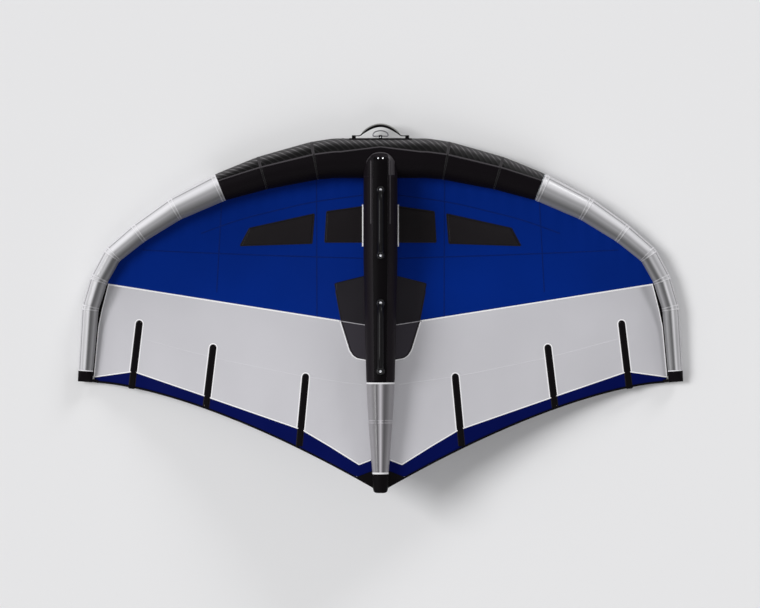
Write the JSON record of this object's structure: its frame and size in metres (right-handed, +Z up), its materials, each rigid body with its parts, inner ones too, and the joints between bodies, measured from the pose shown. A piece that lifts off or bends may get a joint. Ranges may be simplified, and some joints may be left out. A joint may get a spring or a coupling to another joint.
{
  "type": "wingfoil wing",
  "caption": "Inflatable hand-held sail with a curved leading edge tube, a centre strut with grab handles, and a panelled canopy with battens and windows.",
  "frame": {"origin": "middle of the wing's footprint, on the ground it is parked on", "axes": "+X along the span, +Y from the strut's tail towards the leading edge, +Z up, away from the ground, on the side of the strut and its handles"},
  "size_m": [3.308, 2.0038, 0.4556],
  "materials": {
    "black_cloth": "black woven polyester, slight sheen",
    "grey_cloth": "silver grey woven polyester, satin",
    "blue_cloth": "deep blue ripstop sailcloth",
    "navy_cloth": "navy ripstop sailcloth",
    "white_cloth": "off-white ripstop sailcloth",
    "dark_film": "dark clear film",
    "webbing": "black webbing and reinforcement cloth",
    "bladder_film": "clear polyurethane film",
    "batten_rod": "glass fibre strip",
    "handle_plastic": "black moulded nylon",
    "handle_foam": "black grip foam over a tube",
    "valve_plastic": "dark moulded plastic",
    "ring_metal": "dark coated steel"
  },
  "bodies": {
    "wing": {"le_casing_center": "black_cloth", "le_casing_mid_left": "black_cloth", "le_casing_mid_right": "black_cloth", "le_casing_outer_left": "grey_cloth", "le_casing_outer_right": "grey_cloth", "le_casing_tip_left": "grey_cloth", "le_casing_tip_right": "grey_cloth", "wingtip_cap_left": "black_cloth", "wingtip_cap_right": "black_cloth", "le_bladder": "bladder_film", "strut_nose": "black_cloth", "strut_casing_black": "black_cloth", "strut_casing_grey": "grey_cloth", "strut_tail_cap": "black_cloth", "strut_top_panel": "black_cloth", "strut_bladder": "bladder_film", "strut_web": "black_cloth", "transfer_tube": "bladder_film", "canopy_blue_left": "blue_cloth", "canopy_blue_right": "blue_cloth", "canopy_white_left": "white_cloth", "canopy_white_right": "white_cloth", "trailing_band_left": "navy_cloth", "trailing_band_right": "navy_cloth", "trailing_hem_left": "webbing", "trailing_hem_right": "webbing", "tip_band_left": "black_cloth", "tip_band_right": "black_cloth", "window_inner_left": "dark_film", "window_inner_right": "dark_film", "window_outer_left": "dark_film", "window_outer_right": "dark_film", "centre_patch_left": "dark_film", "centre_patch_right": "dark_film", "batten_pocket_1_left": "webbing", "batten_pocket_1_right": "webbing", "batten_pocket_2_left": "webbing", "batten_pocket_2_right": "webbing", "batten_pocket_3_left": "webbing", "batten_pocket_3_right": "webbing", "batten_1_left": "batten_rod", "batten_1_right": "batten_rod", "batten_2_left": "batten_rod", "batten_2_right": "batten_rod", "batten_3_left": "batten_rod", "batten_3_right": "batten_rod", "front_handle_grip": "handle_foam", "rear_handle_grip": "handle_foam", "front_handle_foot_front": "handle_plastic", "front_handle_foot_rear": "handle_plastic", "rear_handle_foot_front": "handle_plastic", "rear_handle_foot_rear": "handle_plastic", "leading_handle_patch": "webbing", "valve_body": "valve_plastic"},
    "strap": {"leading_handle_strap": "webbing"},
    "ring": {"leash_ring": "ring_metal"},
    "cap": {"valve_cap": "valve_plastic"},
    "insert": {"valve_insert": "valve_plastic"}
  },
  "joints": [
    {"name": "strap_swing", "type": "hinge", "parent": "wing", "child": "strap", "pos_m": [0, 0.93843, 0.10807], "axis": [1, 0, 0], "range_deg": [-60, 60]},
    {"name": "leash_ring_swing", "type": "hinge", "parent": "wing", "child": "ring", "pos_m": [0, 0.93643, 0.10807], "axis": [1, 0, 0], "range_deg": [-70, 70]},
    {"name": "valve_cap_flip", "type": "hinge", "parent": "wing", "child": "cap", "pos_m": [-0.1845, 0.91494, 0.05098], "axis": [0, -0.5, -0.866], "range_deg": [0, 135]},
    {"name": "valve_insert_turn", "type": "hinge", "parent": "wing", "child": "insert", "pos_m": [-0.205, 0.90965, 0.05403], "axis": [0, 0.866, -0.5], "range_deg": [0, 90]}
  ]
}
